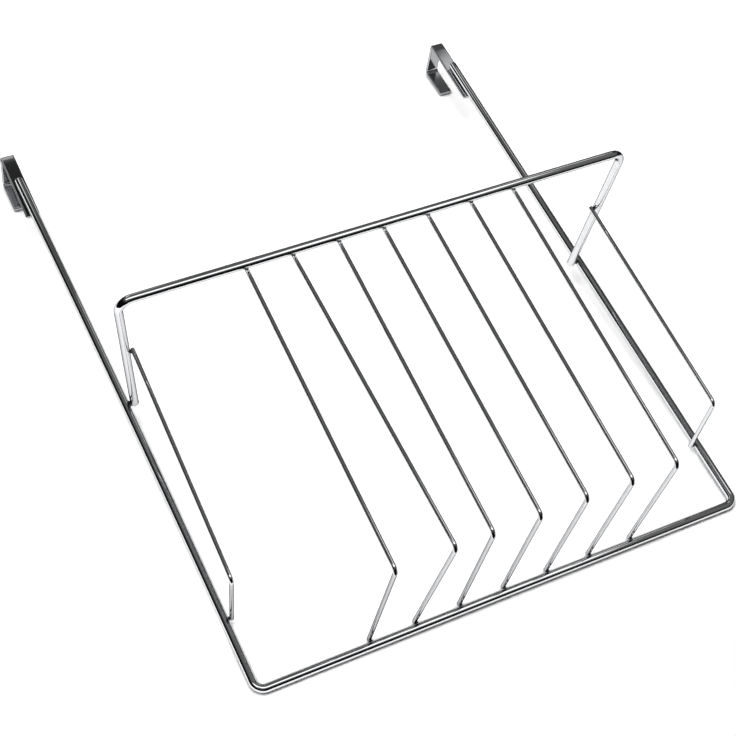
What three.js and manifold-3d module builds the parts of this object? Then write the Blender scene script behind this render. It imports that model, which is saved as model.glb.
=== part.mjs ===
// Wire basket that hangs over the top edge of a cabinet door on two folded strip hooks.
// Sizes are in millimetres. The origin is the middle of the door's top front edge: X runs to the right as
// seen from the room, Y runs back through the door and Z is up. Each bar is round wire, bent cold and welded
// where it crosses another bar.

import * as THREE from 'three';
import { mergeVertices } from 'three/addons/utils/BufferGeometryUtils.js';
import Module from 'manifold-3d';

const wasm = await Module();
wasm.setup();

// The door that the hooks slip over
const doorThickness = 19;
const doorClearance = 0.5;

// Hooks, each one strip of sheet folded twice
const stripWidth = 7.5;
const stripThickness = 1.6;
const foldInnerRadius = 0.9;
const foldOuterRadius = 1;
const frontFlapLength = 41.3;
const backFlapLength = 18;

// Hanger frame: two arms and the bottom bar in one bent wire
const frameWire = 4.2;
const armSpacing = 255.5;
const armTopDrop = 18;
const bottomBarDrop = 325;
const frameCornerRadius = 8.5;

// Rim: the front bar and its two legs in one bent wire
const rimWire = 4.2;
const rimHeight = 157.3;
const rimReach = 86.4;
const rimFlare = 2.5;
const rimCornerRadius = 6.5;

// Thin wires of the basket
const basketWire = 2.2;
const basketBendRadius = 3;

// Front wires, counted from the left, with one that stands askew
const frontWireCount = 7;
const frontWirePitch = 23;
const frontBendReach = 75.7;
const frontBendDrop = 0.6;
const skewedWireNumber = 2;
const skewedBendShift = 5.1;

// Side wires, one at each end of the basket
const sideTopReach = 44.8;
const sideBendReach = 39.3;
const sideLegHeight = 36;

// Welds and fits
const contactGap = 0.3;
const weldGap = 0.25;
const weldSpread = 0.6;
const wireEndOverhang = 1.2;
const flapWeldEndMargin = 3;
const flapWeldRoot = 0.9;
const flapWeldWidth = 1.3;

// Facets
const thickSides = 16;
const thinSides = 12;
const bendSteps = 6;
const ballColumns = 12;
const ballRows = 8;

// Places that several pieces share
const frameRadius = frameWire / 2;
const rimRadius = rimWire / 2;
const basketRadius = basketWire / 2;
const hookGap = doorThickness + doorClearance;
const flapFrontY = -stripThickness;
const armX = armSpacing / 2;
const armY = flapFrontY - contactGap - frameRadius;
const bottomZ = -bottomBarDrop;
const rimY = armY - rimReach;
const rimZ = bottomZ + rimHeight;
const rimCornerX = armX + rimFlare;
const LEFT = -1;
const RIGHT = 1;
const SIDES = [['left', LEFT], ['right', RIGHT]];

// Distances between the centre lines of two wires that touch
const frameToRim = frameRadius + contactGap + rimRadius;
const frameToBasket = frameRadius + contactGap + basketRadius;
const rimToBasket = rimRadius + contactGap + basketRadius;

// Weld beads
const thickBeadRadius = Math.min(frameRadius, rimRadius) + weldSpread;
const thinBeadRadius = basketRadius + weldSpread;

// Polished chrome on the bars and hooks, duller where a weld was plated over
const chrome = () => new THREE.MeshStandardMaterial({ color: 0xc9ccd0, roughness: 0.08, metalness: 1 });
const platedWeld = () => new THREE.MeshStandardMaterial({ color: 0xaeb2b7, roughness: 0.28, metalness: 1 });

// A wire's centre line: straight runs between corner points, each inner corner rounded to one bend radius.
// It is sampled only at the cut ends and along the bends, so that a straight run is one facet long.
class BentLine extends THREE.Curve {
  constructor(corners, bendRadius) {
    super();
    const last = corners.length - 1;
    this.stations = [];
    this.addEnd(corners[0], corners[1].clone().sub(corners[0]));
    for (let index = 1; index < last; index += 1) {
      this.addBend(corners[index - 1], corners[index], corners[index + 1], bendRadius);
    }
    this.addEnd(corners[last], corners[last].clone().sub(corners[last - 1]));
  }

  addEnd(point, direction) {
    this.stations.push({ point: point.clone(), tangent: direction.normalize() });
  }

  addBend(before, corner, after, bendRadius) {
    const inward = corner.clone().sub(before).normalize();
    const outward = after.clone().sub(corner).normalize();
    const turn = inward.angleTo(outward);
    const axis = inward.clone().cross(outward).normalize();
    const start = corner.clone().addScaledVector(inward, -bendRadius * Math.tan(turn / 2));
    const centre = start.clone().addScaledVector(axis.clone().cross(inward), bendRadius);
    for (let step = 0; step <= bendSteps; step += 1) {
      const angle = (turn * step) / bendSteps;
      const point = start.clone().sub(centre).applyAxisAngle(axis, angle).add(centre);
      this.stations.push({ point, tangent: inward.clone().applyAxisAngle(axis, angle) });
    }
  }

  stationAt(share) {
    return this.stations[Math.round(share * (this.stations.length - 1))];
  }

  getPointAt(share, target = new THREE.Vector3()) {
    return target.copy(this.stationAt(share).point);
  }

  getTangentAt(share, target = new THREE.Vector3()) {
    return target.copy(this.stationAt(share).tangent);
  }
}

// A point that lies further on along the run from one point through another
function beyond(from, through, distance) {
  return through.clone().addScaledVector(through.clone().sub(from).normalize(), distance);
}

// A bent wire. Grown by a margin, at its sides and its cut ends, it is the space that a weld leaves free.
function bentWire(corners, bendRadius, radius, sides) {
  const shape = (margin) => {
    const ends = corners.slice();
    ends[0] = beyond(corners[1], corners[0], margin);
    ends[ends.length - 1] = beyond(corners.at(-2), corners.at(-1), margin);
    const line = new BentLine(ends, bendRadius);
    const section = Array.from({ length: sides }, (_, index) => {
      const angle = (2 * Math.PI * index) / sides;
      return new THREE.Vector2(Math.cos(angle), Math.sin(angle)).multiplyScalar(radius + margin);
    });
    return new THREE.ExtrudeGeometry(new THREE.Shape(section), {
      steps: line.stations.length - 1,
      extrudePath: line,
      bevelEnabled: false,
    });
  };
  return { shape: shape(0), clearance: shape(weldGap) };
}

// A closed geometry as a solid that can be cut, and back again
function toSolid(geometry) {
  const bare = geometry.clone();
  bare.deleteAttribute('normal');
  bare.deleteAttribute('uv');
  const merged = mergeVertices(bare);
  const vertProperties = Float32Array.from(merged.attributes.position.array);
  const triVerts = Uint32Array.from(merged.index.array);
  return new wasm.Manifold(new wasm.Mesh({ numProp: 3, vertProperties, triVerts }));
}

function toGeometry(solid) {
  const { vertProperties, triVerts } = solid.getMesh();
  const geometry = new THREE.BufferGeometry();
  geometry.setAttribute('position', new THREE.BufferAttribute(vertProperties, 3));
  geometry.setIndex(new THREE.BufferAttribute(triVerts, 1));
  geometry.computeVertexNormals();
  return geometry;
}

// A weld bead: the collar left of a ball of metal round the touching point when both wires are cut out
function weldBead(centre, radius, firstWire, secondWire) {
  const ball = new THREE.SphereGeometry(radius, ballColumns, ballRows).translate(...centre);
  const besideFirst = toSolid(ball).subtract(toSolid(firstWire.clearance));
  return toGeometry(besideFirst.subtract(toSolid(secondWire.clearance)));
}

const basket = new THREE.Group();

function addPiece(name, geometry, material) {
  const piece = new THREE.Mesh(geometry, material);
  piece.name = name;
  basket.add(piece);
}

// Hanger frame: down the left arm, along the bottom bar and up the right arm
const hangerFrame = bentWire(
  [
    new THREE.Vector3(-armX, armY, -armTopDrop),
    new THREE.Vector3(-armX, armY, bottomZ),
    new THREE.Vector3(armX, armY, bottomZ),
    new THREE.Vector3(armX, armY, -armTopDrop),
  ],
  frameCornerRadius,
  frameRadius,
  thickSides,
);
addPiece('hanger_frame', hangerFrame.shape, chrome());

// Rim legs run back from the flared front corners and pass along the inner side of the arms.
// A leg's direction is the tangent from its front corner to the circle that it keeps clear round the arm.
function rimLeg(side) {
  const corner = new THREE.Vector2(side * rimCornerX, rimY);
  const toArm = new THREE.Vector2(side * armX, armY).sub(corner);
  const tangentTurn = side * Math.asin(frameToRim / toArm.length());
  const direction = toArm.clone().normalize().rotateAround(new THREE.Vector2(), tangentTurn);
  const inward = new THREE.Vector2(-direction.y, direction.x).multiplyScalar(side);
  const weldLength = Math.sqrt(toArm.lengthSq() - frameToRim ** 2);
  const point = (length, inset = 0) => {
    const onLeg = corner.clone().addScaledVector(direction, length).addScaledVector(inward, inset);
    return new THREE.Vector3(onLeg.x, onLeg.y, rimZ);
  };
  return { point, weldLength, lengthAt: (reach) => (rimReach - reach) / direction.y };
}
const rimLegs = { [LEFT]: rimLeg(LEFT), [RIGHT]: rimLeg(RIGHT) };

// Rim: along the left leg to the front, across the front bar and back along the right leg
const rim = bentWire(
  [
    rimLegs[LEFT].point(rimLegs[LEFT].weldLength + wireEndOverhang),
    new THREE.Vector3(-rimCornerX, rimY, rimZ),
    new THREE.Vector3(rimCornerX, rimY, rimZ),
    rimLegs[RIGHT].point(rimLegs[RIGHT].weldLength + wireEndOverhang),
  ],
  rimCornerRadius,
  rimRadius,
  thickSides,
);
addPiece('rim', rim.shape, chrome());

// Rim welds: each leg to the inner side of its arm
for (const [name, side] of SIDES) {
  const leg = rimLegs[side];
  const touch = leg.point(leg.weldLength, -(rimRadius + contactGap / 2));
  addPiece(`rim_weld_${name}`, weldBead(touch, thickBeadRadius, hangerFrame, rim), platedWeld());
}

// A thin wire that is welded at its top and its foot, with one bend between them
function basketWireThrough(top, bend, foot) {
  const corners = [beyond(bend, top, wireEndOverhang), bend, beyond(bend, foot, wireEndOverhang)];
  return bentWire(corners, basketBendRadius, basketRadius, thinSides);
}

// Front wires: welded to the inner side of the rim bar, down to a bend, then back on top of the bottom bar
for (let number = 1; number <= frontWireCount; number += 1) {
  const x = (number - (frontWireCount + 1) / 2) * frontWirePitch;
  const bendX = number === skewedWireNumber ? x + skewedBendShift : x;
  const wire = basketWireThrough(
    new THREE.Vector3(x, rimY + rimToBasket, rimZ),
    new THREE.Vector3(bendX, armY - frontBendReach, bottomZ - frontBendDrop),
    new THREE.Vector3(x, armY, bottomZ + frameToBasket),
  );
  const topTouch = new THREE.Vector3(x, rimY + rimRadius + contactGap / 2, rimZ);
  const footTouch = new THREE.Vector3(x, armY, bottomZ + frameRadius + contactGap / 2);
  const topBead = weldBead(topTouch, thinBeadRadius, rim, wire);
  const footBead = weldBead(footTouch, thinBeadRadius, hangerFrame, wire);
  addPiece(`front_wire_${number}`, wire.shape, chrome());
  addPiece(`front_top_weld_${number}`, topBead, platedWeld());
  addPiece(`front_foot_weld_${number}`, footBead, platedWeld());
}

// Side wires: welded to the inner side of the rim leg, down to a bend, then back to the arm's inner side
for (const [name, side] of SIDES) {
  const leg = rimLegs[side];
  const topLength = leg.lengthAt(sideTopReach);
  const footX = side * (armX - frameToBasket);
  const legZ = bottomZ + sideLegHeight;
  const wire = basketWireThrough(
    leg.point(topLength, rimToBasket),
    new THREE.Vector3(footX, armY - sideBendReach, legZ),
    new THREE.Vector3(footX, armY, legZ),
  );
  const topTouch = leg.point(topLength, rimRadius + contactGap / 2);
  const footTouch = new THREE.Vector3(side * (armX - frameRadius - contactGap / 2), armY, legZ);
  const topBead = weldBead(topTouch, thinBeadRadius, rim, wire);
  const footBead = weldBead(footTouch, thinBeadRadius, hangerFrame, wire);
  addPiece(`side_wire_${name}`, wire.shape, chrome());
  addPiece(`side_top_weld_${name}`, topBead, platedWeld());
  addPiece(`side_foot_weld_${name}`, footBead, platedWeld());
}

// Hook: the strip's edge outline, with its front flap, top web and shorter back flap, drawn in Y and Z
function hookOutline() {
  const innerBackY = hookGap - foldInnerRadius;
  const outerFrontY = flapFrontY + foldOuterRadius;
  const outerBackY = hookGap + stripThickness - foldOuterRadius;
  const outerZ = stripThickness - foldOuterRadius;
  const outline = new THREE.Shape();
  outline.moveTo(flapFrontY, -frontFlapLength);
  outline.lineTo(0, -frontFlapLength);
  outline.lineTo(0, -foldInnerRadius);
  outline.absarc(foldInnerRadius, -foldInnerRadius, foldInnerRadius, Math.PI, Math.PI / 2, true);
  outline.lineTo(innerBackY, 0);
  outline.absarc(innerBackY, -foldInnerRadius, foldInnerRadius, Math.PI / 2, 0, true);
  outline.lineTo(hookGap, -backFlapLength);
  outline.lineTo(hookGap + stripThickness, -backFlapLength);
  outline.lineTo(hookGap + stripThickness, outerZ);
  outline.absarc(outerBackY, outerZ, foldOuterRadius, 0, Math.PI / 2, false);
  outline.lineTo(outerFrontY, stripThickness);
  outline.absarc(outerFrontY, outerZ, foldOuterRadius, Math.PI / 2, Math.PI, false);
  return outline;
}

// Weld fillet in the corner between a hook's front flap and one side of its arm, drawn in X and Y
function flapWeldOutline(side) {
  const clearRadius = frameRadius + contactGap;
  const aroundArm = (x) => Math.PI / 2 - side * Math.asin(x / clearRadius);
  const outline = new THREE.Shape();
  outline.moveTo(side * (flapWeldRoot + flapWeldWidth), flapFrontY);
  outline.lineTo(side * flapWeldRoot, flapFrontY);
  outline.absarc(0, armY, clearRadius, aroundArm(flapWeldRoot), aroundArm(frameRadius), side === RIGHT);
  return outline;
}

// Hooks, each with its front flap behind the top of an arm and a weld fillet along both sides of the arm
const acrossStrip = new THREE.Matrix4().makeBasis(
  new THREE.Vector3(0, 1, 0),
  new THREE.Vector3(0, 0, 1),
  new THREE.Vector3(1, 0, 0),
);
for (const [name, side] of SIDES) {
  const strip = new THREE.ExtrudeGeometry(hookOutline(), {
    depth: stripWidth,
    curveSegments: bendSteps,
    bevelEnabled: false,
  });
  strip.applyMatrix4(acrossStrip);
  strip.translate(side * armX - stripWidth / 2, 0, 0);
  addPiece(`hook_${name}`, strip, chrome());

  for (const [edge, edgeSide] of [['outer', side], ['inner', -side]]) {
    const fillet = new THREE.ExtrudeGeometry(flapWeldOutline(edgeSide), {
      depth: frontFlapLength - armTopDrop - 2 * flapWeldEndMargin,
      curveSegments: bendSteps,
      bevelEnabled: false,
    });
    fillet.translate(side * armX, 0, flapWeldEndMargin - frontFlapLength);
    addPiece(`hook_weld_${name}_${edge}`, fillet, platedWeld());
  }
}

export default basket;
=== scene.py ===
import math

import bmesh
import bpy
from mathutils import Matrix, Quaternion, Vector


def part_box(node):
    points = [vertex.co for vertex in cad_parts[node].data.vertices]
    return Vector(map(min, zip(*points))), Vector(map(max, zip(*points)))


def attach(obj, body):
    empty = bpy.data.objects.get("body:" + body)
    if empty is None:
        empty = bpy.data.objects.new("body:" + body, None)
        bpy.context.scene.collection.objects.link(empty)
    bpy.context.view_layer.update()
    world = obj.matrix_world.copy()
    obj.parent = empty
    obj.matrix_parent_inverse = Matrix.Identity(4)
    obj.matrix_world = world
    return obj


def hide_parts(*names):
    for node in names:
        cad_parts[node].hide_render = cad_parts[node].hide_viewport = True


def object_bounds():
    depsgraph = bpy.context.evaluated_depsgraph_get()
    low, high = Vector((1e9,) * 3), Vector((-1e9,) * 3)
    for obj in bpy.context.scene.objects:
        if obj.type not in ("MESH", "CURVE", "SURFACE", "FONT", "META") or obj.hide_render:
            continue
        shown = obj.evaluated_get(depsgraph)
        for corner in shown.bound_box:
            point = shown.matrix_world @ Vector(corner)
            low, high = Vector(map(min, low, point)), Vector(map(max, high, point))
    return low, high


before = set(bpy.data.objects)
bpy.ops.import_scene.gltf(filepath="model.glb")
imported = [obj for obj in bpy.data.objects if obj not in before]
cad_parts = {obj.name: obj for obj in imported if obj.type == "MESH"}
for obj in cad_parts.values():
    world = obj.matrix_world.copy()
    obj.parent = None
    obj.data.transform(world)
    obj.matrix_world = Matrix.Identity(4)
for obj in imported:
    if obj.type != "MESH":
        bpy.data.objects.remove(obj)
cad_low, cad_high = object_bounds()

# Hanger frame: two arms and the bottom bar in one length of drawn steel wire, bent cold at two corners.
# The wire is cropped and tumbled, which rounds its ends, and the basket is chrome plated once it is welded,
# so that the same bright skin runs over every piece.
mm = 0.001


def linear(hex_colour):
    shares = [int(hex_colour[i:i + 2], 16) / 255 for i in (1, 3, 5)]
    return [s / 12.92 if s <= 0.04045 else ((s + 0.055) / 1.055) ** 2.4 for s in shares] + [1.0]


def add_node(tree, kind, links=(), values=(), **settings):
    node = tree.nodes.new(kind)
    for name, value in settings.items():
        setattr(node, name, value)
    for socket, value in dict(values).items():
        node.inputs[socket].default_value = value
    for socket, source in dict(links).items():
        tree.links.new(source, node.inputs[socket])
    return node


def bright_chrome_on_wire():
    # Chrome plating over drawn wire: a mirror that darkens where it is seen edge on, so that thin grey
    # lines border the wires, with faint lines from the drawing die and patches of slightly hazy polish.
    haze_size = 7 * mm
    die_line_spacing = 0.6 * mm
    die_line_length = 40 * mm
    die_line_depth = 0.01 * mm
    material = bpy.data.materials.new("bright_chrome_on_wire")
    material.use_nodes = True
    tree = material.node_tree
    shader = tree.nodes["Principled BSDF"]
    shader.inputs["Metallic"].default_value = 1.0
    shader.inputs["Specular Tint"].default_value = linear("#2A2A2A")
    place = add_node(tree, "ShaderNodeTexCoord")
    haze = add_node(
        tree, "ShaderNodeTexNoise", {"Vector": place.outputs["Object"]}, {"Scale": 1 / haze_size}
    )
    tint = add_node(tree, "ShaderNodeValToRGB", {"Fac": haze.outputs["Fac"]})
    tint.color_ramp.elements[0].color = linear("#D9DADC")
    tint.color_ramp.elements[1].color = linear("#E0E1E2")
    gloss = add_node(
        tree, "ShaderNodeMapRange", {"Value": haze.outputs["Fac"]}, {"To Min": 0.03, "To Max": 0.08}
    )
    along = add_node(tree, "ShaderNodeUVMap", uv_map="wire")
    stretch = add_node(
        tree,
        "ShaderNodeMapping",
        {"Vector": along.outputs["UV"]},
        {"Scale": (1 / die_line_length, 1 / die_line_spacing, 1)},
    )
    lines = add_node(tree, "ShaderNodeTexNoise", {"Vector": stretch.outputs["Vector"]}, {"Scale": 1.0})
    bump = add_node(
        tree,
        "ShaderNodeBump",
        {"Height": lines.outputs["Fac"]},
        {"Strength": 0.03, "Distance": die_line_depth},
    )
    tree.links.new(tint.outputs["Color"], shader.inputs["Base Color"])
    tree.links.new(gloss.outputs["Result"], shader.inputs["Roughness"])
    tree.links.new(bump.outputs["Normal"], shader.inputs["Normal"])
    return material


def bent_line(corners, bend_radius):
    bend_steps = 14
    longest_run = 6 * mm
    points = [corners[0].copy()]
    for before, corner, after in zip(corners, corners[1:], corners[2:]):
        inward = (corner - before).normalized()
        outward = (after - corner).normalized()
        turn = inward.angle(outward)
        axis = inward.cross(outward).normalized()
        start = corner - inward * bend_radius * math.tan(turn / 2)
        centre = start + axis.cross(inward) * bend_radius
        for step in range(bend_steps + 1):
            points.append(Quaternion(axis, turn * step / bend_steps) @ (start - centre) + centre)
    points.append(corners[-1].copy())
    line = [points[0]]
    for begin, end in zip(points, points[1:]):
        count = max(1, round((end - begin).length / longest_run))
        line += [begin.lerp(end, k / count) for k in range(1, count + 1)]
    return line


def lofted_piece(name, rings, closed_loop=False, lengths=None):
    mesh = bmesh.new()
    uv = mesh.loops.layers.uv.new("wire")
    made = [[mesh.verts.new(point) for point in ring] for ring in rings]
    sides = len(rings[0])
    lengths = lengths or [0.0] * len(rings)
    girth = sum((a - b).length for a, b in zip(rings[len(rings) // 2], rings[len(rings) // 2][1:]))
    count = len(rings)
    for i in range(count if closed_loop else count - 1):
        j = (i + 1) % count
        for k in range(sides):
            after = (k + 1) % sides
            face = mesh.faces.new((made[i][k], made[i][after], made[j][after], made[j][k]))
            places = ((i, k), (i, k + 1), (j, k + 1), (j, k))
            for loop, (station, turn) in zip(face.loops, places):
                loop[uv].uv = (lengths[station], girth * turn / sides)
    if not closed_loop:
        mesh.faces.new(reversed(made[0]))
        mesh.faces.new(made[-1])
    bmesh.ops.recalc_face_normals(mesh, faces=mesh.faces)
    for face in mesh.faces:
        face.smooth = True
    data = bpy.data.meshes.new(name)
    mesh.to_mesh(data)
    mesh.free()
    piece = bpy.data.objects.new(name, data)
    bpy.context.scene.collection.objects.link(piece)
    return piece


def swept_wire(name, corners, bend_radius, radius, sides):
    end_steps = 6
    end_round = 0.35 * radius
    line = bent_line(corners, bend_radius)
    runs = [b - a for a, b in zip(line, line[1:])]
    tangents = [runs[0]] + [a.normalized() + b.normalized() for a, b in zip(runs, runs[1:])] + [runs[-1]]
    stations = [(point, tangent.normalized(), radius) for point, tangent in zip(line, tangents)][1:-1]
    for at, inward, before in ((line[0], runs[0], True), (line[-1], -runs[-1], False)):
        inward = inward.normalized()
        tangent = inward if before else -inward
        cap = []
        for step in range(end_steps + 1):
            angle = math.pi / 2 * step / end_steps
            depth = end_round * (1 - math.cos(angle))
            cap.append((at + inward * depth, tangent, radius - end_round * (1 - math.sin(angle))))
        stations = cap + stations if before else stations + cap[::-1]
    side = stations[0][1].orthogonal()
    rings = []
    lengths = [0.0]
    for index, (centre, tangent, ring_radius) in enumerate(stations):
        side = (side - tangent * side.dot(tangent)).normalized()
        up = tangent.cross(side)
        turns = [2 * math.pi * k / sides for k in range(sides)]
        rings.append([centre + (side * math.cos(t) + up * math.sin(t)) * ring_radius for t in turns])
        if index:
            lengths.append(lengths[-1] + (centre - stations[index - 1][0]).length)
    return lofted_piece(name, rings, lengths=lengths)


def dress(piece, node, material):
    piece.data.materials.append(material)
    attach(piece, "root")
    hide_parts(node)


thick_wire_sides = 32
frame_corner_radius = 5 * mm
frame_low, frame_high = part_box("hanger_frame")
thick_radius = (frame_high.y - frame_low.y) / 2
arm_x = frame_high.x - thick_radius
arm_y = (frame_low.y + frame_high.y) / 2
bottom_z = frame_low.z + thick_radius
left_arm_top_shift = -1.7 * mm
left_arm_foot_shift = 2.3 * mm
left_corner_drop = 0.5 * mm


def left_arm_shift(place):
    # The left arm isn't bent quite square and bows, so that it leans out towards its hook.
    rise = (place.z - bottom_z) / (frame_high.z - bottom_z)
    reach = min(1.0, max(0.0, -place.x / arm_x))
    across = left_arm_foot_shift + (left_arm_top_shift - left_arm_foot_shift) * rise ** 2
    return Vector((across, 0, -left_corner_drop * (1 - rise))) * reach


def arm_axis_x(side, z):
    return side * arm_x + left_arm_shift(Vector((side * arm_x, arm_y, z))).x


wire_chrome = bright_chrome_on_wire()
frame_wire = swept_wire(
    "hanger_frame_plated",
    [
        Vector((-arm_x, arm_y, frame_high.z)),
        Vector((-arm_x, arm_y, bottom_z)),
        Vector((arm_x, arm_y, bottom_z)),
        Vector((arm_x, arm_y, frame_high.z)),
    ],
    frame_corner_radius,
    thick_radius,
    thick_wire_sides,
)
for vertex in frame_wire.data.vertices:
    vertex.co += left_arm_shift(vertex.co)
dress(frame_wire, "hanger_frame", wire_chrome)

# Rim: the front bar and its two legs, one more length of the same wire, bent at the front corners.
# The legs lean in a little towards the back and end on the inner side of the arms, where they are welded.
rim_flare = 2.5 * mm
rim_corner_radius = 6.5 * mm
contact_gap = 0.3 * mm
wire_end_overhang = 1.2 * mm
rim_low, rim_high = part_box("rim")
rim_z = (rim_low.z + rim_high.z) / 2
rim_y = rim_low.y + thick_radius
rim_corner_x = arm_x + rim_flare
thick_to_thick = 2 * thick_radius + contact_gap


def rim_leg(side):
    corner = Vector((side * rim_corner_x, rim_y, rim_z))
    to_arm = Vector((arm_axis_x(side, rim_z), arm_y, rim_z)) - corner
    lean = side * math.asin(thick_to_thick / to_arm.length)
    direction = Matrix.Rotation(lean, 3, "Z") @ to_arm.normalized()
    inward = Vector((-direction.y, direction.x, 0)) * side
    weld_length = math.sqrt(to_arm.length_squared - thick_to_thick ** 2)
    return corner, direction, inward, weld_length


left_corner, left_direction, left_inward, left_weld_length = rim_leg(-1)
right_corner, right_direction, right_inward, right_weld_length = rim_leg(1)
dress(
    swept_wire(
        "rim_plated",
        [
            left_corner + left_direction * (left_weld_length + wire_end_overhang),
            left_corner,
            right_corner,
            right_corner + right_direction * (right_weld_length + wire_end_overhang),
        ],
        rim_corner_radius,
        thick_radius,
        thick_wire_sides,
    ),
    "rim",
    wire_chrome,
)


# Rim welds: a fillet of steel between each leg and its arm, drawn up round the touching place.
# The plating covers it too, but the metal under it froze with a grain, so that it shines less evenly.
def plated_weld_metal():
    # Chrome over weld metal as it froze: a duller mirror with small ripples.
    ripple_size = 0.9 * mm
    ripple_depth = 0.08 * mm
    material = bpy.data.materials.new("plated_weld_metal")
    material.use_nodes = True
    tree = material.node_tree
    shader = tree.nodes["Principled BSDF"]
    shader.inputs["Metallic"].default_value = 1.0
    place = add_node(tree, "ShaderNodeTexCoord")
    ripple = add_node(
        tree, "ShaderNodeTexNoise", {"Vector": place.outputs["Object"]}, {"Scale": 1 / ripple_size}
    )
    tint = add_node(tree, "ShaderNodeValToRGB", {"Fac": ripple.outputs["Fac"]})
    tint.color_ramp.elements[0].color = linear("#2D2F32")
    tint.color_ramp.elements[1].color = linear("#6F7174")
    gloss = add_node(
        tree, "ShaderNodeMapRange", {"Value": ripple.outputs["Fac"]}, {"To Min": 0.1, "To Max": 0.24}
    )
    bump = add_node(
        tree,
        "ShaderNodeBump",
        {"Height": ripple.outputs["Fac"]},
        {"Strength": 0.25, "Distance": ripple_depth},
    )
    tree.links.new(tint.outputs["Color"], shader.inputs["Base Color"])
    tree.links.new(gloss.outputs["Result"], shader.inputs["Roughness"])
    tree.links.new(bump.outputs["Normal"], shader.inputs["Normal"])
    return material


def weld_collar(name, touch, normal, bar_axis, bar_radius, wire_axis, wire_radius, reach):
    # The bar runs on and the wire ends here. The collar's two rims lie on them, a given reach from the
    # touching point, and the skin between the rims is drawn in.
    round_steps = 36
    skin_steps = 7
    sink = 0.05 * mm
    inner_share = 0.25
    draw_in_share = 0.4
    end_room = 0.9 * mm
    coarse_wave = 0.07
    fine_wave = 0.04
    wire_axis = (wire_axis - normal * wire_axis.dot(normal)).normalized()
    bar_side = normal.cross(bar_axis)
    wire_side = normal.cross(wire_axis)

    def on_bar(heading, distance):
        turn = distance * heading.dot(bar_side) / bar_radius
        around = bar_side * math.sin(turn) + normal * math.cos(turn)
        centre = touch - normal * (bar_radius + contact_gap / 2)
        return centre + bar_axis * distance * heading.dot(bar_axis) + around * (bar_radius - sink)

    def on_wire(heading, distance):
        turn = distance * heading.dot(wire_side) / wire_radius
        around = wire_side * math.sin(turn) - normal * math.cos(turn)
        centre = touch + normal * (wire_radius + contact_gap / 2)
        along = min(distance * heading.dot(wire_axis), end_room)
        return centre + wire_axis * along + around * (wire_radius - sink)

    rings = []
    for step in range(round_steps):
        angle = 2 * math.pi * step / round_steps
        heading = bar_axis * math.cos(angle) + bar_side * math.sin(angle)
        wave = coarse_wave * math.sin(3 * angle + touch.x / mm)
        wave += fine_wave * math.sin(5 * angle + touch.z / mm)
        uneven = reach * (1 + wave)
        low = on_bar(heading, uneven)
        high = on_wire(heading, uneven)
        waist = touch + heading * uneven * draw_in_share
        skin = []
        for k in range(skin_steps + 1):
            share = k / skin_steps
            skin.append(low * (1 - share) ** 2 + waist * 2 * share * (1 - share) + high * share ** 2)
        inside = [on_wire(heading, uneven * inner_share), on_bar(heading, uneven * inner_share)]
        rings.append(skin + inside)
    return lofted_piece(name, rings, closed_loop=True)


weld_metal = plated_weld_metal()
thick_weld_reach = 2.1 * mm
up = Vector((0, 0, 1))
for name, corner, direction, inward, weld_length in (
    ("left", left_corner, left_direction, left_inward, left_weld_length),
    ("right", right_corner, right_direction, right_inward, right_weld_length),
):
    touch = corner + direction * weld_length - inward * (thick_radius + contact_gap / 2)
    dress(
        weld_collar(
            f"rim_weld_{name}_plated",
            touch,
            inward,
            up,
            thick_radius,
            direction,
            thick_radius,
            thick_weld_reach,
        ),
        f"rim_weld_{name}",
        weld_metal,
    )

# Front wires: thin wires that hang on the inner side of the rim bar, turn back under the basket and end on
# top of the bottom bar, with a weld at both ends. The second one was welded a little askew.
thin_wire_sides = 24
thin_bend_radius = 2.8 * mm
front_bend_reach = 75.7 * mm
front_bend_drop = 0.6 * mm
skewed_number = 2
skewed_bend_shift = 5.1 * mm
thin_weld_reach = 1.45 * mm
front_count = sum(node.startswith("front_wire_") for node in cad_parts)
right = Vector((1, 0, 0))
back = Vector((0, 1, 0))
first_low, first_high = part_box("front_wire_1")
last_low, last_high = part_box(f"front_wire_{front_count}")
thin_radius = (first_high.x - first_low.x) / 2
front_pitch = (last_low.x - first_low.x) / (front_count - 1)
thick_to_thin = thick_radius + contact_gap + thin_radius


def thin_wire(name, top, bend, foot):
    ends = [
        top + (top - bend).normalized() * wire_end_overhang,
        bend,
        foot + (foot - bend).normalized() * wire_end_overhang,
    ]
    return swept_wire(name, ends, thin_bend_radius, thin_radius, thin_wire_sides)


for number in range(1, front_count + 1):
    x = (first_low.x + first_high.x) / 2 + (number - 1) * front_pitch
    shift = skewed_bend_shift if number == skewed_number else 0.0
    top = Vector((x, rim_y + thick_to_thin, rim_z))
    bend = Vector((x + shift, arm_y - front_bend_reach, bottom_z - front_bend_drop))
    foot = Vector((x, arm_y, bottom_z + thick_to_thin))
    dress(
        thin_wire(f"front_wire_{number}_plated", top, bend, foot),
        f"front_wire_{number}",
        wire_chrome,
    )
    for place, end, normal in (("top", top, back), ("foot", foot, up)):
        touch = end - normal * (thin_radius + contact_gap / 2)
        dress(
            weld_collar(
                f"front_{place}_weld_{number}_plated",
                touch,
                normal,
                right,
                thick_radius,
                end - bend,
                thin_radius,
                thin_weld_reach,
            ),
            f"front_{place}_weld_{number}",
            weld_metal,
        )

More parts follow.
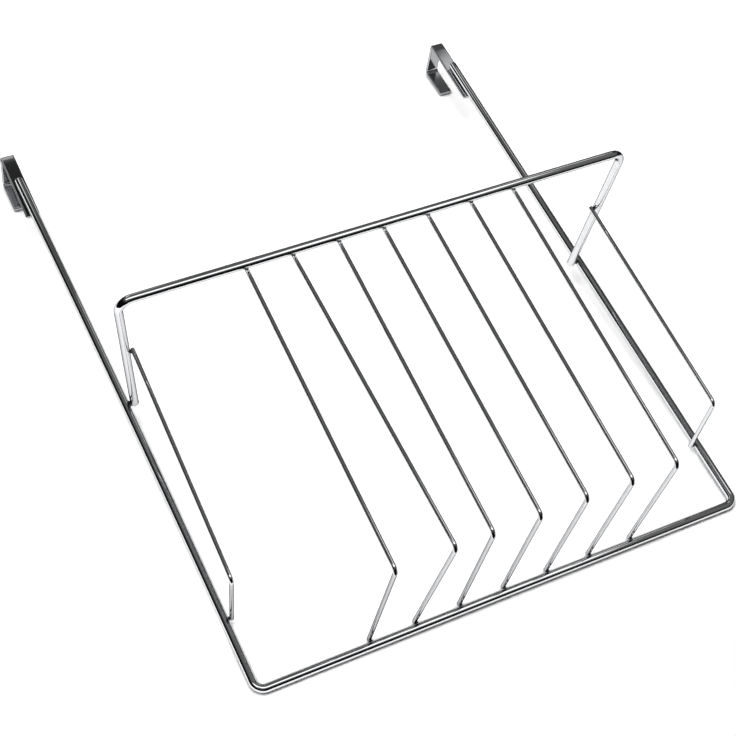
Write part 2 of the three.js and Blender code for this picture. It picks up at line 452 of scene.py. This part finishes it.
# Side wires: one at each end of the basket, from the inner side of the rim leg down to a bend and straight
# back to the inner side of the arm. They keep things from slipping out sideways.
side_top_reach = 44.8 * mm
side_bend_reach = 39.3 * mm
side_leg_height = 36 * mm
for name, side, corner, direction, inward in (
    ("left", -1, left_corner, left_direction, left_inward),
    ("right", 1, right_corner, right_direction, right_inward),
):
    top_length = (arm_y - side_top_reach - rim_y) / direction.y
    top = corner + direction * top_length + inward * thick_to_thin
    foot_z = bottom_z + side_leg_height
    foot = Vector((arm_axis_x(side, foot_z) - side * thick_to_thin, arm_y, foot_z))
    bend = Vector((side * (arm_x - thick_to_thin), arm_y - side_bend_reach, foot_z))
    dress(
        thin_wire(f"side_wire_{name}_plated", top, bend, foot),
        f"side_wire_{name}",
        wire_chrome,
    )
    for place, end, normal, bar_axis in (
        ("top", top, inward, direction),
        ("foot", foot, -right * side, up),
    ):
        touch = end - normal * (thin_radius + contact_gap / 2)
        dress(
            weld_collar(
                f"side_{place}_weld_{name}_plated",
                touch,
                normal,
                bar_axis,
                thick_radius,
                end - bend,
                thin_radius,
                thin_weld_reach,
            ),
            f"side_{place}_weld_{name}",
            weld_metal,
        )


# Hooks: strips of rolled steel with rounded edges, folded twice to go over the top of a door.
# The long front flap carries the arm and the short back flap keeps the hook from slipping off.
def bright_chrome_on_strip():
    # Chrome plating over rolled strip: flat, slightly darker mirrors with a faint grain along the strip.
    grain_length = 25 * mm
    grain_width = 0.7 * mm
    grain_depth = 0.01 * mm
    haze_size = 9 * mm
    material = bpy.data.materials.new("bright_chrome_on_strip")
    material.use_nodes = True
    tree = material.node_tree
    shader = tree.nodes["Principled BSDF"]
    shader.inputs["Metallic"].default_value = 1.0
    shader.inputs["Specular Tint"].default_value = linear("#2A2A2A")
    place = add_node(tree, "ShaderNodeTexCoord")
    haze = add_node(
        tree, "ShaderNodeTexNoise", {"Vector": place.outputs["Object"]}, {"Scale": 1 / haze_size}
    )
    tint = add_node(tree, "ShaderNodeValToRGB", {"Fac": haze.outputs["Fac"]})
    tint.color_ramp.elements[0].color = linear("#B1B2B4")
    tint.color_ramp.elements[1].color = linear("#B9BABC")
    gloss = add_node(
        tree, "ShaderNodeMapRange", {"Value": haze.outputs["Fac"]}, {"To Min": 0.04, "To Max": 0.09}
    )
    along = add_node(tree, "ShaderNodeUVMap", uv_map="wire")
    stretch = add_node(
        tree,
        "ShaderNodeMapping",
        {"Vector": along.outputs["UV"]},
        {"Scale": (1 / grain_length, 1 / grain_width, 1)},
    )
    grain = add_node(tree, "ShaderNodeTexNoise", {"Vector": stretch.outputs["Vector"]}, {"Scale": 1.0})
    bump = add_node(
        tree, "ShaderNodeBump", {"Height": grain.outputs["Fac"]}, {"Strength": 0.1, "Distance": grain_depth}
    )
    tree.links.new(tint.outputs["Color"], shader.inputs["Base Color"])
    tree.links.new(gloss.outputs["Result"], shader.inputs["Roughness"])
    tree.links.new(bump.outputs["Normal"], shader.inputs["Normal"])
    return material


def strip_section(half_width, half_thickness, edge_round):
    # A rectangle with rounded edges, and a point just inside each flat so that the flats shade flat.
    edge_steps = 6
    flat_margin = 0.08 * mm
    points = []
    for quarter, (sx, sy) in enumerate(((1, 1), (-1, 1), (-1, -1), (1, -1))):
        centre = Vector((sx * (half_width - edge_round), sy * (half_thickness - edge_round)))
        start = math.pi / 2 * quarter
        arc = [start + math.pi / 2 * k / edge_steps for k in range(edge_steps + 1)]
        rounded = [centre + Vector((math.cos(a), math.sin(a))) * edge_round for a in arc]
        before = Vector((math.sin(start), -math.cos(start))) * flat_margin
        after = Vector((-math.cos(start), -math.sin(start))) * flat_margin
        points += [rounded[0] + before] + rounded + [rounded[-1] + after]
    return points


def folded_strip(name, x, width, thickness, front_length, back_length, gap):
    # Each station has a point on the strip's inside, one on its outside, and its depth from the nearer end.
    # The folds' radii are given for the inside and for the outside.
    fold_steps = 14
    corner_steps = 6
    front_radii = (0.9 * mm, 0.6 * mm)
    back_radii = (2.4 * mm, 2.8 * mm)
    side_round = 0.7 * mm
    edge_round = 0.35 * mm
    corner_round = 0.9 * mm
    flat_margin = 0.2 * mm
    end_thinning = 0.7
    fullest_edge = 0.9
    lean_length = 3 * mm
    lean_steps = 6
    front_lean = math.radians(4)
    back_lean = math.radians(2.5)
    stations = []

    def end_depths():
        turns = [math.pi / 2 * k / corner_steps for k in range(corner_steps + 1)]
        edge = [edge_round * (1 - math.cos(turn)) for turn in turns]
        shares = [k / corner_steps for k in range(1, corner_steps + 1)]
        plan = [edge_round + (corner_round - edge_round) * share for share in shares]
        return edge + plan + [corner_round + flat_margin]

    def fold(corner, from_way, to_way, inner_radius, outer_radius):
        # The outside runs straight on until its own, sharper turn.
        straight = thickness + inner_radius - outer_radius
        arc = outer_radius * math.pi / 2
        for step in range(fold_steps + 1):
            turn = math.pi / 2 * step / fold_steps
            inner = corner - from_way * inner_radius * (1 - math.sin(turn))
            inner += to_way * inner_radius * (1 - math.cos(turn))
            run = (2 * straight + arc) * step / fold_steps
            turn = min(max(0.0, run - straight), arc) / outer_radius
            outer = corner + (from_way - to_way) * thickness
            outer -= from_way * (outer_radius * (1 - math.sin(turn)) + max(0.0, straight - run))
            outer += to_way * (outer_radius * (1 - math.cos(turn)) + max(0.0, run - straight - arc))
            stations.append((inner, outer, front_length))

    for depth in end_depths():
        z = depth - front_length
        stations.append((Vector((x, 0, z)), Vector((x, -thickness, z)), depth))
    for step in range(lean_steps):
        z = -front_radii[0] - lean_length * (1 - step / lean_steps)
        stations.append((Vector((x, 0, z)), Vector((x, -thickness, z)), front_length))
    fold(Vector((x, 0, 0)), up, back, *front_radii)
    front_stations = len(stations)
    for y in (front_radii[0] + 2 * thickness, gap - back_radii[0] - 2 * thickness):
        stations.append((Vector((x, y, 0)), Vector((x, y, thickness)), front_length))
    back_stations = len(stations)
    fold(Vector((x, gap, 0)), back, -up, *back_radii)
    for depth in reversed(end_depths()):
        z = depth - back_length
        stations.append((Vector((x, gap, z)), Vector((x, gap + thickness, z)), depth))

    def leant(point, index):
        if index < front_stations:
            rise = max(0.0, point.z + front_radii[0] + lean_length)
            return point + back * rise ** 2 * math.tan(front_lean) / (2 * lean_length)
        if index >= back_stations:
            return point + back * min(0.0, point.z + back_radii[0]) * math.tan(back_lean)
        return point

    rings = []
    lengths = [0.0]
    for index, (inner, outer, depth) in enumerate(stations):
        inner = leant(inner, index)
        outer = leant(outer, index)
        from_edge = max(0.0, edge_round - depth)
        from_corner = max(0.0, corner_round - depth)
        thinned = edge_round - math.sqrt(edge_round ** 2 - from_edge ** 2)
        narrowed = corner_round - math.sqrt(corner_round ** 2 - from_corner ** 2)
        centre = (inner + outer) / 2
        outward = (outer - inner).normalized()
        half_thickness = (outer - inner).length / 2 - thinned * end_thinning
        section_round = min(side_round, half_thickness * fullest_edge)
        section = strip_section(width / 2 - narrowed, half_thickness, section_round)
        rings.append([centre + right * p.x + outward * p.y for p in section])
        if index:
            lengths.append(lengths[-1] + (inner - last_inner).length)
        last_inner = inner
    return lofted_piece(name, rings, lengths=lengths)


back_flap_length = 18.6 * mm
strip_chrome = bright_chrome_on_strip()
hook_low, hook_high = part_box("hook_right")
strip_thickness = hook_high.z
hook_gap = hook_high.y - strip_thickness
for name, side in (("left", -1), ("right", 1)):
    dress(
        folded_strip(
            f"hook_{name}_plated",
            arm_axis_x(side, frame_high.z),
            hook_high.x - hook_low.x,
            strip_thickness,
            -hook_low.z,
            back_flap_length,
            hook_gap,
        ),
        f"hook_{name}",
        strip_chrome,
    )


# Hook welds: two long fillets that join the top of each arm to the face of its hook, one on either side.
# Each was run from top to bottom in one pass, so that it ripples along its length and tapers at both ends.
def flap_fillet(name, arm_side, side, low_z, high_z):
    skin_steps = 6
    length_steps = 40
    ripple_pitch = 1.3 * mm
    taper = 2.5 * mm
    toe = 1.7 * mm
    root = 0.5 * mm
    waist_out = 1.1 * mm
    waist_rise = 0.3 * mm
    climb = math.radians(50)
    blunt_end = 0.08
    ripple_share = 0.05
    sink = 0.05 * mm
    face_y = -strip_thickness
    root_point = Vector((side * root, face_y + sink, 0))
    low = Vector((side * toe, face_y + sink, 0))
    high = Vector((side * math.sin(climb), math.cos(climb), 0)) * (thick_radius - sink) + back * arm_y
    waist = Vector((side * waist_out, face_y - waist_rise, 0))
    inner = Vector((side * root, arm_y + math.sqrt(thick_radius ** 2 - root ** 2) - sink, 0))
    outline = []
    for k in range(skin_steps + 1):
        share = k / skin_steps
        outline.append(low * (1 - share) ** 2 + waist * 2 * share * (1 - share) + high * share ** 2)
    outline += [inner, root_point]
    rings = []
    lengths = []
    for step in range(length_steps + 1):
        z = low_z + (high_z - low_z) * step / length_steps
        from_end = min(z - low_z, high_z - z)
        grown = math.sin(math.pi / 2 * min(1.0, from_end / taper + blunt_end))
        grown *= 1 + ripple_share * math.sin(2 * math.pi * z / ripple_pitch)
        middle = Vector((arm_axis_x(arm_side, z), 0, z))
        rings.append([root_point.lerp(p, grown) + middle for p in outline])
        lengths.append(z - low_z)
    return lofted_piece(name, rings, lengths=lengths)


for name, side in (("left", -1), ("right", 1)):
    for edge, edge_side in (("outer", side), ("inner", -side)):
        node = f"hook_weld_{name}_{edge}"
        weld_low, weld_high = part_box(node)
        dress(
            flap_fillet(f"{node}_plated", side, edge_side, weld_low.z, weld_high.z),
            node,
            weld_metal,
        )


# Table: the white top that the basket lies on with its back, touching the bottom bar and the back flaps.
# It is seen from its upper side only, so that views from behind the basket look through it.
def seen_or_mirrored(tree):
    # 1 where the eye meets a surface directly, in a mirror or through glass, 0 where it only gives light.
    path = add_node(tree, "ShaderNodeLightPath")
    seen = add_node(
        tree,
        "ShaderNodeMath",
        {0: path.outputs["Is Camera Ray"], 1: path.outputs["Is Glossy Ray"]},
        operation="MAXIMUM",
    )
    return add_node(
        tree,
        "ShaderNodeMath",
        {0: seen.outputs[0], 1: path.outputs["Is Transmission Ray"]},
        operation="MAXIMUM",
    )


def white_table_top():
    # Smooth white laminate: a plain white that keeps the shadows where a bar touches it. It is lifted to a
    # clear white for the eye alone, less and less within reach of the bars, which paints a darker seam
    # along each bar on top of its real shadow.
    white_lift = 0.42
    shut_in = 0.6
    open_air = 0.95
    contact_shade_reach = 3 * mm
    material = bpy.data.materials.new("white_table_top")
    material.use_nodes = True
    tree = material.node_tree
    tree.nodes.remove(tree.nodes["Principled BSDF"])
    shade = add_node(
        tree, "ShaderNodeAmbientOcclusion", values={"Distance": contact_shade_reach}, samples=8
    )
    # Painted contact shade: the glow fades where the bars shut the table in, so the seam beside a bar is
    # drawn darker than the lamp alone leaves it.
    glow_held_back_as_painted_contact_shade = add_node(
        tree,
        "ShaderNodeMapRange",
        {"Value": shade.outputs["AO"]},
        {"From Min": shut_in, "From Max": open_air, "To Max": white_lift},
    )
    lift = add_node(
        tree,
        "ShaderNodeMath",
        {0: seen_or_mirrored(tree).outputs[0], 1: glow_held_back_as_painted_contact_shade.outputs["Result"]},
        operation="MULTIPLY",
    )
    paint = add_node(tree, "ShaderNodeBsdfDiffuse", values={"Color": linear("#FAFAFA")})
    glow = add_node(tree, "ShaderNodeEmission", {"Strength": lift.outputs[0]})
    front = add_node(tree, "ShaderNodeAddShader", {0: paint.outputs[0], 1: glow.outputs[0]})
    clear = add_node(tree, "ShaderNodeBsdfTransparent")
    faces = add_node(tree, "ShaderNodeNewGeometry")
    sided = add_node(
        tree,
        "ShaderNodeMixShader",
        {"Fac": faces.outputs["Backfacing"], 1: front.outputs[0], 2: clear.outputs[0]},
    )
    tree.links.new(sided.outputs[0], tree.nodes["Material Output"].inputs["Surface"])
    return material


table_half_width = 0.6
table_below = 0.06
table_above = 0.8
bar_rest = Vector((0, frame_high.y, bottom_z))
flap_rest = Vector((0, hook_high.y, -back_flap_length))
table_up = (flap_rest - bar_rest).normalized()
table_data = bpy.data.meshes.new("table")
table_corners = []
for sx, sz in ((-1, -table_below), (1, -table_below), (1, table_above), (-1, table_above)):
    table_corners.append(bar_rest + right * table_half_width * sx + table_up * sz)
table_data.from_pydata(table_corners, [], [(0, 1, 2, 3)])
table_data.materials.append(white_table_top())
table = bpy.data.objects.new("table", table_data)
bpy.context.scene.collection.objects.link(table)


# Studio: the dark room that faces the basket, with its walls and soft lights, which the chrome mirrors.
# It is one round shell about the basket and its table, seen in reflections only.
def studio_room():
    # Each panel spans from left to right and from low to high, in degrees from straight in front of the
    # basket, has a soft edge of so many degrees, a grey and a strength, and lies over those before it.
    panels = (
        (-44, 62, -48, 80, 26, "#676767", 1.0),
        (40, 80, 12, 32, 10, "#3B3B3B", 1.0),
        (24, 38, -20, 22, 10, "#6F6F6F", 1.0),
        (-9, 13, 36, 51, 7, "#343434", 1.0),
        (-12, 14, 56, 76, 2, "#DEDEDE", 1.0),
        (-38, -13, 43, 64, 5, "#FFFFFF", 1.13),
        (19, 36, 26, 46, 8, "#686868", 1.0),
        (36, 48, 30, 41.8, 1, "#F7F7F7", 1.0),
        (38, 60, 43, 80, 4, "#606060", 1.0),
        (-18, 29, -28, -1, 4, "#FFFFFF", 1.6),
        (13, 30, -10, 9, 4, "#FFFFFF", 1.6),
        (-36, -17, -20, 1, 4, "#FFFFFF", 1.6),
        (88, 150, -46, -12, 8, "#FFFFFF", 1.0),
        (140, 172, -15, 40, 12, "#929292", 1.0),
        (-172, -140, -15, 40, 12, "#929292", 1.0),
    )
    wall = "#0C0C0C"
    material = bpy.data.materials.new("studio_room")
    material.use_nodes = True
    tree = material.node_tree
    tree.nodes.remove(tree.nodes["Principled BSDF"])
    place = add_node(tree, "ShaderNodeUVMap", uv_map="degrees")
    split = add_node(tree, "ShaderNodeSeparateXYZ", {0: place.outputs["UV"]})
    level = add_node(tree, "ShaderNodeValue")
    level.outputs[0].default_value = linear(wall)[0]
    for left, right_end, low, high, soft, grey, strength in panels:
        cover = None
        for axis, begin, end in (("X", left, right_end), ("Y", low, high)):
            for edge, way in ((begin, 1), (end, -1)):
                fade = add_node(
                    tree,
                    "ShaderNodeMapRange",
                    {"Value": split.outputs[axis]},
                    {"From Min": edge - way * soft / 2, "From Max": edge + way * soft / 2},
                    interpolation_type="SMOOTHSTEP",
                )
                cover = fade if cover is None else add_node(
                    tree, "ShaderNodeMath", {0: cover.outputs[0], 1: fade.outputs[0]}, operation="MULTIPLY"
                )
        level = add_node(
            tree,
            "ShaderNodeMix",
            {"Factor": cover.outputs[0], "A": level.outputs[0]},
            {"B": linear(grey)[0] * strength},
        )
    # The panels show in the chrome and leave the table alone, also where the chrome faces it.
    path = add_node(tree, "ShaderNodeLightPath")
    direct = add_node(
        tree, "ShaderNodeMath", {0: path.outputs["Diffuse Depth"]}, {1: 0.5}, operation="LESS_THAN"
    )
    shown = add_node(
        tree, "ShaderNodeMath", {0: level.outputs[0], 1: direct.outputs[0]}, operation="MULTIPLY"
    )
    light = add_node(tree, "ShaderNodeEmission", {"Strength": shown.outputs[0]})
    tree.links.new(light.outputs[0], tree.nodes["Material Output"].inputs["Surface"])
    return material


room_radius = 0.9
room_step = 4
pole = 89.9
room_columns = range(-180, 181, room_step)
room_rows = [-pole] + list(range(-88, 89, room_step)) + [pole]
degrees = [(turn, height) for height in room_rows for turn in room_columns]
room_points = []
for turn, height in degrees:
    level_way = right * math.sin(math.radians(turn)) - back * math.cos(math.radians(turn))
    way = level_way * math.cos(math.radians(height)) + up * math.sin(math.radians(height))
    room_points.append(way * room_radius)
row_length = len(room_columns)
room_faces = []
for row in range(len(room_rows) - 1):
    for column in range(row_length - 1):
        k = row * row_length + column
        room_faces.append((k, k + 1, k + row_length + 1, k + row_length))
room_data = bpy.data.meshes.new("studio_room")
room_data.from_pydata(room_points, [], room_faces)
room_uv = room_data.uv_layers.new(name="degrees")
for loop in room_data.loops:
    room_uv.data[loop.index].uv = degrees[loop.vertex_index]
room_data.materials.append(studio_room())
room = bpy.data.objects.new("studio_room", room_data)
bpy.context.scene.collection.objects.link(room)
room.location = (cad_low + cad_high) / 2
room.visible_camera = False
room.visible_diffuse = False
room.visible_shadow = False

# Lamps: one wide soft lamp in front of the basket, a little to the left, and a trace of even light.
# Beyond the table the background is plain white. The chrome mirrors the studio and not the lamp.
fill_light = 0.02
background_white = 1.0
lamp_data = bpy.data.lights.new("soft_lamp", "AREA")
lamp_data.shape = "RECTANGLE"
lamp_data.size = 1.8
lamp_data.size_y = 1.1
lamp_data.energy = 52
lamp = bpy.data.objects.new("soft_lamp", lamp_data)
lamp.location = (-0.5, -2.1, 0.1)
lamp.rotation_euler = (bar_rest + flap_rest - 2 * lamp.location).to_track_quat("-Z", "Y").to_euler()
lamp.visible_glossy = False
bpy.context.scene.collection.objects.link(lamp)
world = bpy.data.worlds.new("white_room")
world.use_nodes = True
bpy.context.scene.world = world
tree = world.node_tree
level = add_node(
    tree,
    "ShaderNodeMapRange",
    {"Value": seen_or_mirrored(tree).outputs[0]},
    {"To Min": fill_light, "To Max": background_white},
)
tree.links.new(level.outputs["Result"], tree.nodes["Background"].inputs["Strength"])
tree.nodes["Background"].inputs["Color"].default_value = linear("#FFFFFF")

# Camera: it stands below and to the left of the hanging basket and looks up at it, rolled a little.
# Its place, direction and lens come from the bars' places in the photograph.
camera_place = Vector((-269.7, -666.6, -555.3)) * mm
camera_view = Vector((0.32757, 0.82737, 0.45625))
camera_up = Vector((0.29588, -0.54843, 0.7821))
camera_data = bpy.data.cameras.new("camera")
camera_data.lens = 78.67
camera_data.clip_start = 0.01
camera = bpy.data.objects.new("camera", camera_data)
camera_right = camera_view.cross(camera_up).normalized()
camera_top = camera_right.cross(camera_view).normalized()
turned = Matrix((camera_right, camera_top, -camera_view.normalized())).transposed()
camera.matrix_world = Matrix.Translation(camera_place) @ turned.to_4x4()
bpy.context.scene.collection.objects.link(camera)
bpy.context.scene.camera = camera
bpy.context.scene.view_settings.view_transform = "Standard"
